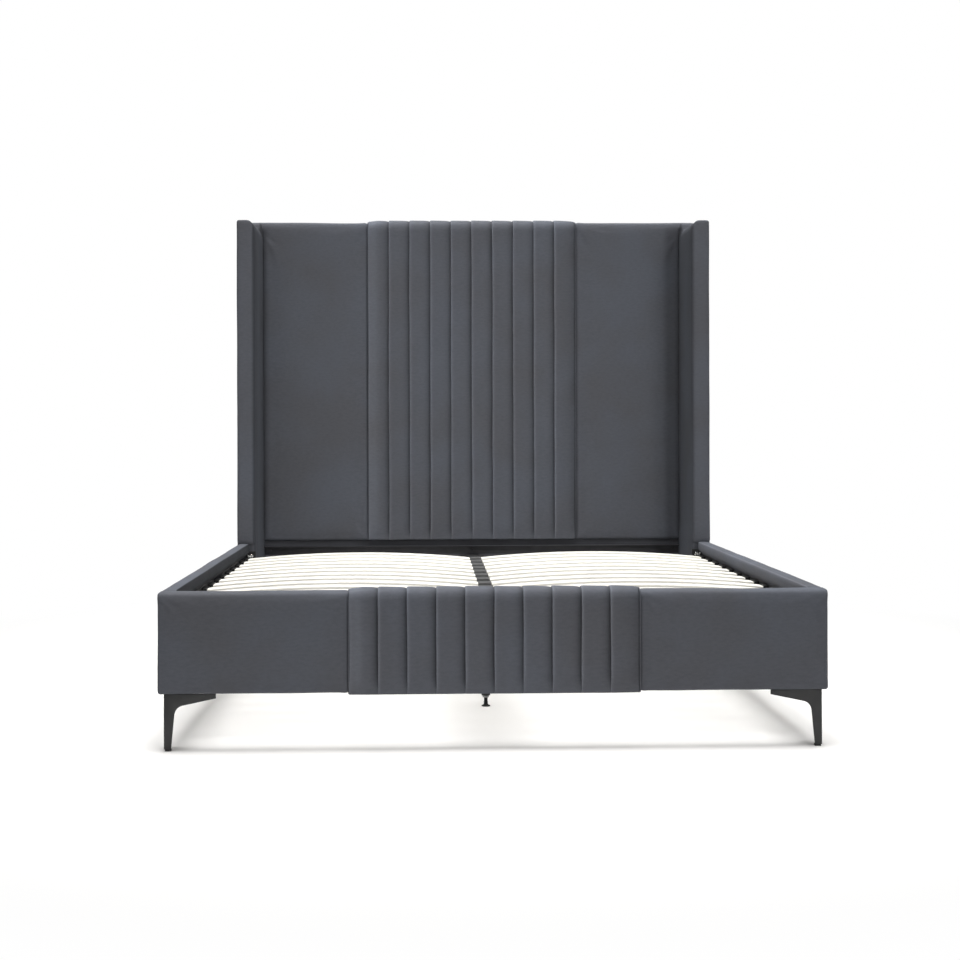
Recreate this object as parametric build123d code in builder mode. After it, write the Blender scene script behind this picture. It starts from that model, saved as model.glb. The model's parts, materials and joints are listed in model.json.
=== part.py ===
"""Upholstered wingback bed with pleated panels, sprung slats and blade legs.

X runs across the bed, +Y points to the headboard and +Z up. The origin lies on
the floor, under the middle of the bed. All sizes are in millimetres.
"""

import os

from build123d import *

os.makedirs("parts", exist_ok=True)

# Overall sizes
bed_width = 1640
bed_length = 2150
leg_height = 139
rail_height = 251
headboard_height = 1536

# Clearances
seat_gap = 0.3
cut_overrun = 5

# Fabric and padding
pad_thickness = 12
under_pad = 6
face_bulge = 2
bottom_round = 4
cover_lip = 32
seam_gap = 1.5

# Side rails
rail_board_thickness = 23
rail_crown = 22

# Footboard
footboard_board_thickness = 30
footboard_pad_thickness = 15
footboard_end_pad = 12
footboard_top_round = 20
footboard_end_round = 9

# Pleats
pleat_count = 10
footboard_pleat_pitch = 70.8
headboard_pleat_pitch = 75.1
pleat_lip = 7
pleat_shoulder = 5
pleat_valley = 1
pleat_tail = 2.5
pleat_lip_width = 12
pleat_shoulder_width = 3
pleat_hang = 2
board_edge_round = 8

# Headboard panel
headboard_thickness = 80
back_cover_thickness = 3
headboard_pad_thickness = 29
ply_thickness = 6
ply_edge_round = 3
panel_bottom = 381
panel_top_round = 20
panel_bottom_round = 12
panel_side_round = 9
panel_bulge = 3
frame_member_width = 70
lower_board_thickness = 5

# Wings and posts
wing_thickness = 63
wing_projection = 300
wing_top = 1507
wing_rail_gap = 1.5
wing_chamfer = 18
wing_corner_round = 9
wing_front_round = 8
cap_overlap = 25
post_setback = 10

# Corner brackets and their bolts
plate = 3
bracket_height = 90
bracket_top_drop = 4
head_bracket_flange = 38
foot_bracket_flange = 34
bracket_board_flange = 30
bracket_corner_round = 4
bolt_diameter = 8
bolt_head_diameter = 13
bolt_head_height = 6
bolt_socket_diameter = 6.5
bolt_socket_depth = 4
bolt_grip = 24
bolt_edge_margin = 16
bolt_fit = 0.3

# Slat rails and their screws
slat_rail_width = 27
slat_rail_height = 44
slat_rail_wall = 2
slat_rail_round = 4
slat_rail_end_gap = 4
screw_head_diameter = 9
screw_head_height = 2.5
screw_diameter = 5
screw_grip = 15
slat_rail_screw_count = 5
slat_rail_screw_margin = 60

# Slats and their holders
slat_rows = 12
slat_width = 60
slat_thickness = 8
slat_crown = 20
slat_end_drop = 50
first_slat_offset = 148
last_slat_offset = 78
slat_edge_cut = 1.5
slat_fit = 0.3
holder_width = 67
holder_wall = 3.5
holder_base = 7
holder_grip = 26
centre_web = 7
centre_grip = 20

# Steel angle that carries the head of the mattress
head_rail_flange = 30
head_rail_end_gap = 4
head_rail_drop = 2
head_rail_screw_bite = 20

# Centre beam, its end brackets and legs
beam_width = 40
beam_height = 40
beam_wall = 2
beam_bracket_length = 45
beam_bracket_ear = 24
centre_leg_diameter = 25
centre_leg_wall = 2
centre_leg_clearance = 31
centre_leg_front_share = 0.31
centre_leg_rear_share = 0.65
leg_flange_diameter = 46

# Adjustable feet of the centre legs
insert_height = 14
stem_diameter = 10
stem_fit = 0.05
stem_above_insert = 12
foot_diameter = 24
foot_height = 13
foot_rim_height = 3
foot_neck_diameter = 13
nut_across_flats = 16
nut_height = 6

# Corner legs
leg_inset = 16
leg_arm = 126
leg_tip_height = 11
leg_root_height = 32
leg_blade_width = 27
leg_foot_width = 17
leg_blade = 5
leg_bend_round = 26
leg_plate_width = 62
glide_height = 5
glide_margin = 1.5
glide_round = 2

# Heights and places worked out from the sizes
half_width = bed_width / 2
base = leg_height
rail_top = leg_height + rail_height
board_bottom = base + under_pad
lip_bottom = rail_top - cover_lip
foot_face = -bed_length / 2 + pleat_lip + seat_gap
head_back = bed_length / 2

rail_thickness = pad_thickness + rail_board_thickness + pad_thickness
rail_board_outer = half_width - pad_thickness
rail_board_inner = rail_board_outer - rail_board_thickness
rail_board_top = rail_top - pad_thickness
rail_inner = half_width - rail_thickness

footboard_thickness = footboard_pad_thickness + footboard_board_thickness + pad_thickness
foot_back = foot_face + footboard_thickness
foot_board_front = foot_face + footboard_pad_thickness
foot_board_back = foot_board_front + footboard_board_thickness
foot_board_top = rail_top - footboard_pad_thickness
foot_board_end = half_width - footboard_end_pad
foot_pleats_half = pleat_count * footboard_pleat_pitch / 2

panel_face = head_back - headboard_thickness
ply_front = panel_face + headboard_pad_thickness
frame_front = ply_front + ply_thickness
frame_back = head_back - back_cover_thickness
frame_top = headboard_height - headboard_pad_thickness
head_pleats_half = pleat_count * headboard_pleat_pitch / 2
lower_board_front = ply_front - lower_board_thickness

wing_inner = half_width - wing_thickness
wing_front = panel_face - wing_projection
wing_bottom = rail_top + wing_rail_gap
wing_board_inner = wing_inner + pad_thickness
wing_board_outer = half_width - pad_thickness
wing_board_top = wing_top - pad_thickness
wing_rear_top = frame_top
cap_start = wing_inner - cap_overlap
frame_half_width = wing_board_inner - seat_gap
panel_half_width = wing_inner - seat_gap
post_front = wing_front + post_setback
post_board_front = post_front + pad_thickness

rail_foot_end = foot_back + seat_gap
rail_head_end = post_front - seat_gap
rail_length = rail_head_end - rail_foot_end

slat_end_top = rail_top - slat_end_drop
slat_end_bottom = slat_end_top - slat_thickness
shelf_top = slat_end_bottom - holder_base
steel_inner = rail_board_inner - plate
slat_rail_inner = rail_board_inner - slat_rail_width
side_holder_outer = rail_board_inner - seat_gap
slat_outer_end = side_holder_outer - holder_wall - slat_fit
slat_inner_end = centre_web / 2 + slat_fit
slat_middle = (slat_outer_end + slat_inner_end) / 2
first_row = foot_back + first_slat_offset
last_row = post_front - last_slat_offset
slat_pitch = (last_row - first_row) / (slat_rows - 1)
row_places = [(0, first_row + row * slat_pitch, 0) for row in range(slat_rows)]

bracket_top = lip_bottom - bracket_top_drop
bracket_bottom = bracket_top - bracket_height
bolt_heights = (bracket_top - bolt_edge_margin, bracket_bottom + bolt_edge_margin)
board_bolt_x = rail_board_inner - bracket_board_flange / 2
rail_bolt_foot = foot_back + foot_bracket_flange - bolt_edge_margin
rail_bolt_head = post_front - head_bracket_flange + bolt_edge_margin

slat_rail_start = foot_back + foot_bracket_flange + slat_rail_end_gap
slat_rail_stop = post_front - head_bracket_flange - slat_rail_end_gap
screw_first = slat_rail_start + slat_rail_screw_margin
screw_step = (slat_rail_stop - slat_rail_screw_margin - screw_first) / (slat_rail_screw_count - 1)
rail_screw_grip = slat_rail_width + screw_grip
screw_height = shelf_top - slat_rail_height / 2

head_rail_top = slat_end_top + slat_crown - head_rail_drop
head_rail_bottom = head_rail_top - head_rail_flange
head_rail_half = panel_half_width - head_rail_end_gap
head_rail_back = lower_board_front
head_screw_x = frame_half_width - frame_member_width / 2
head_screw_z = head_rail_top - head_rail_flange / 2
head_screw_grip = plate + lower_board_thickness + ply_thickness + head_rail_screw_bite

beam_top = shelf_top
beam_bottom = beam_top - beam_height
beam_start = foot_back + plate
beam_stop = lower_board_front - plate
centre_leg_places = [
    foot_face + bed_length * share for share in (centre_leg_front_share, centre_leg_rear_share)
]

leg_corner_x = half_width - leg_inset
blade_to_screw = leg_blade + screw_head_diameter / 2 + seat_gap
front_leg_y = foot_face + leg_inset
rear_leg_y = head_back - leg_inset


def save(piece, name):
    """Label a finished piece and write it to its own file."""
    piece.part.label = name
    export_step(piece.part, f"parts/{name}.step")


def save_sides(right, name):
    """Write a right-hand piece, and its mirror image for the left."""
    with BuildPart() as left:
        mirror(right.part, about=Plane.YZ)
    save(right, name + "_right")
    save(left, name + "_left")


def both_sides(right):
    """A right-hand piece together with its mirror image."""
    with BuildPart() as both:
        add(right.part)
        mirror(right.part, about=Plane.YZ)
    return both


def block(x, y, z, mode=Mode.ADD):
    """A box between two limits on each axis, added to or cut from the open part."""
    middle = ((x[0] + x[1]) / 2, (y[0] + y[1]) / 2, (z[0] + z[1]) / 2)
    with Locations(middle):
        Box(abs(x[1] - x[0]), abs(y[1] - y[0]), abs(z[1] - z[0]), mode=mode)


def padded_length(plane, length, face, inward, thickness, top_round):
    """A padded rail with a bulged face and a rounded top, from the rail base to its top."""
    edge = face + inward * face_bulge
    back = face + inward * thickness
    with BuildPart() as padded:
        with BuildSketch(plane) as section:
            with BuildLine():
                ThreePointArc((edge, base), (face, (base + rail_top) / 2), (edge, rail_top))
                Polyline((edge, rail_top), (back, rail_top), (back, base), (edge, base))
            make_face()
            top_corners = section.vertices().group_by(Axis.Y)[-1]
            fillet(top_corners, radius=top_round)
            front_corner = section.vertices().sort_by_distance((edge, base, 0))[0]
            fillet(front_corner, radius=bottom_round)
        extrude(amount=length)
    return padded


on_seat = (Align.CENTER, Align.CENTER, Align.MIN)
below_seat = (Align.CENTER, Align.CENTER, Align.MAX)

# One bracket bolt, pointing down, with the seat of its head at zero height
with BuildPart() as bolt:
    Cylinder(bolt_head_diameter / 2, bolt_head_height, align=on_seat)
    fillet(bolt.edges().group_by(Axis.Z)[-1], radius=bolt_head_height / 6)
    Cylinder(bolt_diameter / 2, bolt_grip, align=below_seat)
    with BuildSketch(Plane.XY.offset(bolt_head_height)):
        RegularPolygon(bolt_socket_diameter / 2, 6)
    extrude(amount=-bolt_socket_depth, mode=Mode.SUBTRACT)


def make_screw(grip):
    """A round-headed screw, pointing down, with the seat of its head at zero height."""
    with BuildPart() as screw:
        Cylinder(screw_head_diameter / 2, screw_head_height, align=on_seat)
        fillet(screw.edges().group_by(Axis.Z)[-1], radius=screw_head_height / 2)
        Cylinder(screw_diameter / 2, grip, align=below_seat)
    return screw


# Where the bolts and screws sit on the right-hand side, with the way they turn
to_the_right = (0, -90, 0)
to_the_head = (90, 0, 0)
to_the_foot = (-90, 0, 0)
upwards = (180, 0, 0)
rail_bolts = [
    Location((steel_inner, y, z), to_the_right)
    for y in (rail_bolt_foot, rail_bolt_head) for z in bolt_heights
]
post_bolts = [Location((board_bolt_x, post_front - plate, z), to_the_head) for z in bolt_heights]
foot_bolts = [Location((board_bolt_x, foot_back + plate, z), to_the_foot) for z in bolt_heights]
rail_screws = [
    Location((slat_rail_inner, screw_first + step * screw_step, screw_height), to_the_right)
    for step in range(slat_rail_screw_count)
]
head_rail_screws = [
    Location((x, head_rail_back - plate, head_screw_z), to_the_head)
    for x in (-head_screw_x, 0, head_screw_x)
]
leg_plate_bottom = base - plate
near_blade = leg_corner_x - blade_to_screw
far_from_blade = leg_corner_x - leg_plate_width
foot_board_middle = (foot_board_front + foot_board_back) / 2
front_leg_screws = [
    Location((near_blade, front_leg_y + leg_plate_width, leg_plate_bottom), upwards),
    Location((far_from_blade, foot_board_middle, leg_plate_bottom), upwards),
]
rear_leg_screws = [
    Location((near_blade, rear_leg_y - leg_plate_width, leg_plate_bottom), upwards),
    Location((far_from_blade, rear_leg_y - blade_to_screw, leg_plate_bottom), upwards),
]


def drill(places, diameter, depth):
    """Clearance holes in the open part, at the places of bolts or screws."""
    with Locations(*places):
        Cylinder(
            diameter / 2 + bolt_fit, depth + bolt_fit, align=below_seat, mode=Mode.SUBTRACT,
        )


# Side rail cover, wrapped under the board, over its top and down a lip inside
rail_plane = Plane.XZ.offset(-rail_head_end)
rail_block = padded_length(rail_plane, rail_length, half_width, -1, rail_thickness, rail_crown)
rail_run = (rail_foot_end - cut_overrun, rail_head_end + cut_overrun)
rail_cavity_x = (rail_board_inner - seat_gap, rail_board_outer + seat_gap)
with BuildPart() as side_rail_cover:
    add(rail_block.part)
    block(rail_cavity_x, rail_run, (board_bottom - seat_gap, rail_board_top + seat_gap), Mode.SUBTRACT)
    below_lip = (base - cut_overrun, lip_bottom)
    block((rail_inner - cut_overrun, rail_cavity_x[0]), rail_run, below_lip, Mode.SUBTRACT)
    drill(front_leg_screws, screw_diameter, screw_grip)
save_sides(side_rail_cover, "side_rail_cover")

# Side rail board
with BuildPart() as side_rail_board:
    board_thickness_x = (rail_board_inner, rail_board_outer)
    block(board_thickness_x, (rail_foot_end, rail_head_end), (board_bottom, rail_board_top))
    drill(rail_bolts, bolt_diameter, bolt_grip)
    drill(rail_screws, screw_diameter, rail_screw_grip)
    drill(front_leg_screws, screw_diameter, screw_grip)
save_sides(side_rail_board, "side_rail_board")

# Footboard board
foot_board_half = foot_board_end - seat_gap
with BuildPart() as footboard_board_right:
    block((0, foot_board_half), (foot_board_front, foot_board_back), (board_bottom, foot_board_top))
    board_front_top = footboard_board_right.edges().filter_by(Axis.X).sort_by(Axis.Z)[-2:]
    fillet(board_front_top, radius=board_edge_round)
    drill(front_leg_screws, screw_diameter, screw_grip)
    drill(foot_bolts, bolt_diameter, bolt_grip)
with BuildPart() as footboard_board:
    add(both_sides(footboard_board_right).part)
save(footboard_board, "footboard_board")

# Plain pads of the footboard, closed over the board's ends
pad_start = foot_pleats_half + seam_gap
pad_length = half_width - pad_start
foot_block = padded_length(
    Plane.YZ.offset(pad_start), pad_length, foot_face, 1, footboard_thickness, footboard_top_round,
)
foot_cavity_y = (foot_board_front - seat_gap, foot_board_back + seat_gap)
foot_cavity_x = (pad_start - cut_overrun, foot_board_end)
with BuildPart() as footboard_pad:
    add(foot_block.part)
    outer_end = footboard_pad.faces().sort_by(Axis.X)[-1]
    fillet(outer_end.edges().filter_by(GeomType.CIRCLE, reverse=True), footboard_end_round)
    foot_cavity_z = (board_bottom - seat_gap, foot_board_top + seat_gap)
    block(foot_cavity_x, foot_cavity_y, foot_cavity_z, Mode.SUBTRACT)
    block(foot_cavity_x, (foot_board_back, foot_back + cut_overrun), below_lip, Mode.SUBTRACT)
    drill(front_leg_screws, screw_diameter, screw_grip)
save_sides(footboard_pad, "footboard_pad")

# Lining over the back of the footboard and under its board between the plain pads
with BuildPart() as footboard_lining_right:
    block((0, foot_board_end - seat_gap), (foot_board_back, foot_back), (base, lip_bottom - seat_gap))
    block((0, foot_pleats_half), (foot_board_front, foot_board_back), (base, board_bottom))
    drill(foot_bolts, bolt_diameter, bolt_grip)
footboard_lining = both_sides(footboard_lining_right)
save(footboard_lining, "footboard_lining")


def pleat_section(plane, pitch, pad):
    """Section of a row of knife pleats, each rising to a lip and falling to the next fold."""
    start = -pleat_count * pitch / 2
    with BuildSketch(plane) as section:
        with BuildLine():
            for pleat in range(pleat_count):
                fold = start + pleat * pitch
                following = fold + pitch
                ThreePointArc(
                    (fold, pad + pleat_valley),
                    (fold + pleat_shoulder_width, pad + pleat_shoulder),
                    (fold + pleat_lip_width, pad + pleat_lip),
                )
                Line((fold + pleat_lip_width, pad + pleat_lip), (following, pad + pleat_tail))
                if pleat < pleat_count - 1:
                    Line((following, pad + pleat_tail), (following, pad + pleat_valley))
            Polyline((-start, pad + pleat_tail), (-start, 0), (start, 0), (start, pad + pleat_valley))
        make_face()
    return section


# Pleated cover of the footboard, from the lip inside over the top and down the face
round_path = board_edge_round + seat_gap
path_back = foot_board_back + seat_gap
path_front = foot_board_front - seat_gap
path_top = foot_board_top + seat_gap
with BuildPart() as footboard_pleats:
    with BuildLine(Plane.YZ):
        FilletPolyline(
            (path_back, lip_bottom), (path_back, path_top), (path_front, path_top),
            (path_front, base - pleat_hang), radius=round_path,
        )
    lip_plane = Plane((0, path_back, lip_bottom))
    foot_pleat_face = pleat_section(lip_plane, footboard_pleat_pitch, footboard_pad_thickness)
    sweep(sections=foot_pleat_face.sketch)
save(footboard_pleats, "footboard_pleats")

# Timber frame of the headboard, three uprights with three rails between each two
upright_half = frame_member_width / 2
outer_upright = (frame_half_width - frame_member_width, frame_half_width)
between_uprights = (upright_half + seat_gap, outer_upright[0] - seat_gap)
frame_depth = (frame_front, frame_back)
frame_rails = (
    (board_bottom, board_bottom + frame_member_width),
    (panel_bottom - upright_half, panel_bottom + upright_half),
    (frame_top - frame_member_width, frame_top),
)
with BuildPart() as frame_right:
    block(outer_upright, frame_depth, (board_bottom, frame_top))
    for heights in frame_rails:
        block(between_uprights, frame_depth, heights)
    drill(rear_leg_screws, screw_diameter, screw_grip)
with BuildPart() as headboard_frame:
    block((-upright_half, upright_half), frame_depth, (board_bottom, frame_top))
    add(both_sides(frame_right).part)
    drill(head_rail_screws, screw_diameter, head_screw_grip)
save(headboard_frame, "headboard_frame")

# Plywood face of the frame
with BuildPart() as headboard_ply:
    block((-frame_half_width, frame_half_width), (ply_front, frame_front), (board_bottom, frame_top))
    top_edges = headboard_ply.edges().filter_by(Axis.X).group_by(Axis.Z)[-1]
    fillet(top_edges.sort_by(Axis.Y)[0], radius=ply_edge_round)
    drill(head_rail_screws, screw_diameter, head_screw_grip)
save(headboard_ply, "headboard_ply")

# Cloth over the back of the frame
with BuildPart() as headboard_back_cover:
    block((-panel_half_width, panel_half_width), (frame_back, head_back), (base, frame_top))
save(headboard_back_cover, "headboard_back_cover")

# Covered board that fills the recess below the padded panel
with BuildPart() as headboard_lower_board:
    block(
        (-panel_half_width, panel_half_width), (lower_board_front, ply_front),
        (base, panel_bottom - seat_gap),
    )
    front_edges = headboard_lower_board.edges().filter_by(Axis.X).group_by(Axis.Y)[0]
    fillet(front_edges.sort_by(Axis.Z)[0], radius=bottom_round / 2)
    drill(head_rail_screws, screw_diameter, head_screw_grip)
save(headboard_lower_board, "headboard_lower_board")

# Plain pads of the headboard, over the front and the top of the frame
head_pad_start = head_pleats_half + seam_gap
panel_edge = panel_face + panel_bulge
panel_middle = (panel_bottom + headboard_height) / 2
pad_back = ply_front - seat_gap
pad_underside = frame_top + seat_gap


def head_pad_length(start, stop):
    """A length of the padded panel with its top flap, and its outer edge rounded."""
    with BuildPart() as length:
        with BuildSketch(Plane.YZ.offset(start)) as head_section:
            with BuildLine():
                ThreePointArc(
                    (panel_edge, panel_bottom), (panel_face, panel_middle),
                    (panel_edge, headboard_height),
                )
                Polyline(
                    (panel_edge, headboard_height), (head_back, headboard_height),
                    (head_back, pad_underside), (pad_back, pad_underside), (pad_back, panel_bottom),
                    (panel_edge, panel_bottom),
                )
            make_face()
            for corner, corner_round in (
                ((panel_edge, headboard_height, 0), panel_top_round),
                ((head_back, headboard_height, 0), bottom_round),
                ((panel_edge, panel_bottom, 0), panel_bottom_round),
            ):
                fillet(head_section.vertices().sort_by_distance(corner)[0], corner_round)
        extrude(amount=stop - start)
        outer_side = length.faces().sort_by(Axis.X)[-1]
        rounded = (panel_face, panel_face + panel_top_round)
        fillet(outer_side.edges().filter_by_position(Axis.Y, *rounded), radius=panel_side_round)
    return length


below_cap = (panel_bottom - cut_overrun, pad_underside)
with BuildPart() as headboard_cap:
    add(head_pad_length(cap_start, half_width).part)
    cap_reach = (cap_start - cut_overrun, half_width + cut_overrun)
    block(cap_reach, (panel_face - cut_overrun, head_back), below_cap, Mode.SUBTRACT)
with BuildPart() as headboard_pad:
    add(head_pad_length(head_pad_start, panel_half_width).part)
    add(headboard_cap.part)
save_sides(headboard_pad, "headboard_pad")

# Pleated middle of the headboard, up the front and over the top
head_path_front = ply_front - seat_gap
with BuildPart() as headboard_pleats:
    with BuildLine(Plane.YZ):
        FilletPolyline(
            (head_back, pad_underside), (head_path_front, pad_underside),
            (head_path_front, panel_bottom), radius=ply_edge_round + seat_gap,
        )
    top_plane = Plane((0, head_back, pad_underside), x_dir=(1, 0, 0), z_dir=(0, -1, 0))
    head_pleat_face = pleat_section(top_plane, headboard_pleat_pitch, headboard_pad_thickness)
    sweep(sections=head_pleat_face.sketch)
save(headboard_pleats, "headboard_pleats")


def wing_board_block(margin):
    """Side board of a wing, with its post below, and a margin all round it."""
    x = (wing_board_inner - margin, wing_board_outer + margin)
    upper_front = wing_front + pad_thickness - margin
    lower_front = post_board_front - margin
    shoulder = wing_bottom + pad_thickness - margin
    with BuildPart() as board:
        rear_top = wing_rear_top - pad_thickness + margin
        upper_rear = panel_face - pad_thickness + margin
        block(x, (upper_front, upper_rear), (shoulder, wing_board_top + margin))
        block(x, (upper_front, frame_back + margin), (shoulder, rear_top))
        block(x, (lower_front, frame_back + margin), (board_bottom - margin, shoulder))
    return board


# Side board of the wing, which runs down to the floor end as a post
with BuildPart() as wing_board:
    add(wing_board_block(0).part)
    drill(post_bolts, bolt_diameter, bolt_grip)
    drill(rear_leg_screws, screw_diameter, screw_grip)
save_sides(wing_board, "wing_board")

# Padded cover of the wing, with its inner top corner cut off
frame_slot_y = (ply_front - seat_gap, frame_back + seat_gap)
frame_slot_x = (wing_inner - cut_overrun, wing_board_inner)
with BuildPart() as wing_cover:
    with BuildSketch(Plane.XZ.offset(-head_back)) as wing_outline:
        with Locations(((wing_inner + half_width) / 2, (wing_bottom + wing_top) / 2)):
            Rectangle(wing_thickness, wing_top - wing_bottom)
        inner_top = wing_outline.vertices().sort_by_distance((wing_inner, wing_top, 0))[0]
        chamfer(inner_top, length=wing_chamfer)
        fillet(wing_outline.vertices(), radius=wing_corner_round)
    extrude(amount=head_back - wing_front)
    fillet(wing_cover.faces().sort_by(Axis.Y)[0].edges(), radius=wing_front_round)
    add(wing_board_block(seat_gap).part, mode=Mode.SUBTRACT)
    block(frame_slot_x, frame_slot_y, (wing_bottom - cut_overrun, frame_top + seat_gap), Mode.SUBTRACT)
    behind_cap = (panel_face - seat_gap, head_back + cut_overrun)
    cover_reach = (wing_inner - cut_overrun, half_width + cut_overrun)
    block(cover_reach, behind_cap, (wing_rear_top, wing_top + cut_overrun), Mode.SUBTRACT)
save_sides(wing_cover, "wing_cover")

# Fabric round the post below the wing
post_top = wing_bottom - seat_gap
with BuildPart() as post_cover:
    block((wing_inner, half_width), (post_front, head_back), (base, post_top))
    fillet(post_cover.edges().filter_by(Axis.Z).group_by(Axis.X)[-1], radius=wing_corner_round)
    add(wing_board_block(seat_gap).part, mode=Mode.SUBTRACT)
    block(frame_slot_x, frame_slot_y, (board_bottom - seat_gap, post_top + cut_overrun), Mode.SUBTRACT)
    drill(post_bolts, bolt_diameter, bolt_grip)
    drill(rear_leg_screws, screw_diameter, screw_grip)
save_sides(post_cover, "post_cover")


def corner_bracket(board_face, away, rail_flange, bolts):
    """Steel angles between the rails and the board across their ends."""
    z = (bracket_bottom, bracket_top)
    with BuildPart() as bracket:
        rail_flange_y = (board_face, board_face + away * rail_flange)
        block((steel_inner, rail_board_inner), rail_flange_y, z)
        board_flange_x = (rail_board_inner - bracket_board_flange, rail_board_inner)
        block(board_flange_x, (board_face, board_face + away * plate), z)
        flange_corners = bracket.edges().filter_by(Axis.X).group_by(SortBy.LENGTH)[0]
        fillet(flange_corners, radius=bracket_corner_round)
        with Locations(*bolts):
            Cylinder(bolt_diameter / 2 + bolt_fit, 2 * plate + cut_overrun, mode=Mode.SUBTRACT)
    return both_sides(bracket)


head_bracket_pair = corner_bracket(post_front, -1, head_bracket_flange, rail_bolts + post_bolts)
save(head_bracket_pair, "head_brackets")
foot_bracket_pair = corner_bracket(foot_back, 1, foot_bracket_flange, rail_bolts + foot_bolts)
save(foot_bracket_pair, "foot_brackets")

# Bolts of the four corner brackets
with BuildPart() as bolts_right:
    with Locations(*rail_bolts, *post_bolts, *foot_bolts):
        add(bolt.part)
save(both_sides(bolts_right), "bracket_bolts")

# Steel slat rail, a rectangular tube on the inside of the rail board
with BuildPart() as slat_rail:
    with BuildSketch(Plane.XZ.offset(-slat_rail_stop)):
        with Locations((rail_board_inner - slat_rail_width / 2, shelf_top - slat_rail_height / 2)):
            RectangleRounded(slat_rail_width, slat_rail_height, slat_rail_round)
            RectangleRounded(
                slat_rail_width - 2 * slat_rail_wall, slat_rail_height - 2 * slat_rail_wall,
                slat_rail_round - slat_rail_wall, mode=Mode.SUBTRACT,
            )
    extrude(amount=slat_rail_stop - slat_rail_start)
    drill(rail_screws, screw_diameter, rail_screw_grip)
save_sides(slat_rail, "slat_rail")

with BuildPart() as rail_screws_right:
    with Locations(*rail_screws):
        add(make_screw(rail_screw_grip).part)
save(both_sides(rail_screws_right), "slat_rail_screws")


def slat_block(margin, width):
    """A bowed slat over the first row, with a margin all round its section."""
    top = slat_end_top + margin
    bottom = slat_end_bottom - margin
    start = slat_inner_end - margin
    stop = slat_outer_end + margin
    with BuildPart() as slat:
        with BuildSketch(Plane.XZ.offset(-width / 2)):
            with BuildLine():
                ThreePointArc((start, top), (slat_middle, top + slat_crown), (stop, top))
                Line((stop, top), (stop, bottom))
                ThreePointArc((stop, bottom), (slat_middle, bottom + slat_crown), (start, bottom))
                Line((start, bottom), (start, top))
            make_face()
        extrude(amount=width)
    return slat


# Sprung slats, two to a row, bowed upwards
with BuildPart() as slat_right:
    add(slat_block(0, slat_width).part)
    chamfer(slat_right.edges().filter_by(GeomType.CIRCLE), length=slat_edge_cut)
slat_pair = both_sides(slat_right)
for row, place in enumerate(row_places, start=1):
    with BuildPart() as slat_row:
        with Locations(place):
            add(slat_pair.part)
    save(slat_row, f"slat_row_{row:02d}")

# Plastic holder at the outer end of a slat
holder_top = slat_end_top + holder_wall
slat_passage = slat_block(slat_fit, slat_width + 2 * slat_fit)
side_holder_inner = slat_outer_end - holder_grip
holder_y = (-holder_width / 2, holder_width / 2)
with BuildPart() as side_holder:
    block((side_holder_inner, side_holder_outer), holder_y, (shelf_top, holder_top))
    fillet(side_holder.edges().group_by(Axis.Z)[-1], radius=holder_wall / 2)
    add(slat_passage.part, mode=Mode.SUBTRACT)
with BuildPart() as slat_holders:
    with Locations(*row_places):
        add(side_holder.part)
save_sides(slat_holders, "slat_holders")

# Double holder over the centre beam
with BuildPart() as centre_holder:
    centre_holder_end = slat_inner_end + centre_grip
    block((-centre_holder_end, centre_holder_end), holder_y, (shelf_top, holder_top))
    fillet(centre_holder.edges().group_by(Axis.Z)[-1], radius=holder_wall / 2)
    add(both_sides(slat_passage).part, mode=Mode.SUBTRACT)
with BuildPart() as slat_holders_centre:
    with Locations(*row_places):
        add(centre_holder.part)
save(slat_holders_centre, "slat_holders_centre")

# Centre beam, a rectangular steel tube
with BuildPart() as centre_beam:
    with BuildSketch(Plane.XZ.offset(-beam_stop)) as beam_section:
        with Locations((0, (beam_top + beam_bottom) / 2)):
            RectangleRounded(beam_width, beam_height, 2 * beam_wall)
            RectangleRounded(
                beam_width - 2 * beam_wall, beam_height - 2 * beam_wall, beam_wall, mode=Mode.SUBTRACT,
            )
    extrude(amount=beam_stop - beam_start)
save(centre_beam, "centre_beam")


# Steel angle across the head of the bed, on the covered board
with BuildPart() as head_rail:
    across = (-head_rail_half, head_rail_half)
    block(across, (head_rail_back - plate, head_rail_back), (head_rail_bottom, head_rail_top))
    shelf = (head_rail_top - plate, head_rail_top)
    block(across, (head_rail_back - head_rail_flange, head_rail_back), shelf)
    bend_place = (0, head_rail_back - plate, shelf[0])
    inner_bend = head_rail.edges().filter_by(Axis.X).sort_by_distance(bend_place)[0]
    fillet(inner_bend, radius=plate)
    drill(head_rail_screws, screw_diameter, plate)
save(head_rail, "head_rail")

with BuildPart() as head_rail_screw_row:
    with Locations(*head_rail_screws):
        add(make_screw(head_screw_grip).part)
save(head_rail_screw_row, "head_rail_screws")


def beam_bracket(board_face, away):
    """Open steel shoe that carries one end of the centre beam."""
    ear = beam_width / 2 + seat_gap + beam_bracket_ear
    cheek = beam_width / 2 + seat_gap
    floor = beam_bottom - seat_gap
    with BuildPart() as shoe:
        ear_y = (board_face, board_face + away * (plate - seat_gap))
        block((-ear, ear), ear_y, (floor - plate, beam_top))
        run = (board_face, board_face + away * beam_bracket_length)
        block((-cheek - plate, cheek + plate), run, (floor - plate, floor))
        for side in (-1, 1):
            block((side * cheek, side * (cheek + plate)), run, (floor - plate, beam_top))
    return shoe


with BuildPart() as beam_brackets:
    add(beam_bracket(foot_back, 1).part)
    add(beam_bracket(lower_board_front, -1).part)
save(beam_brackets, "beam_brackets")

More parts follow.
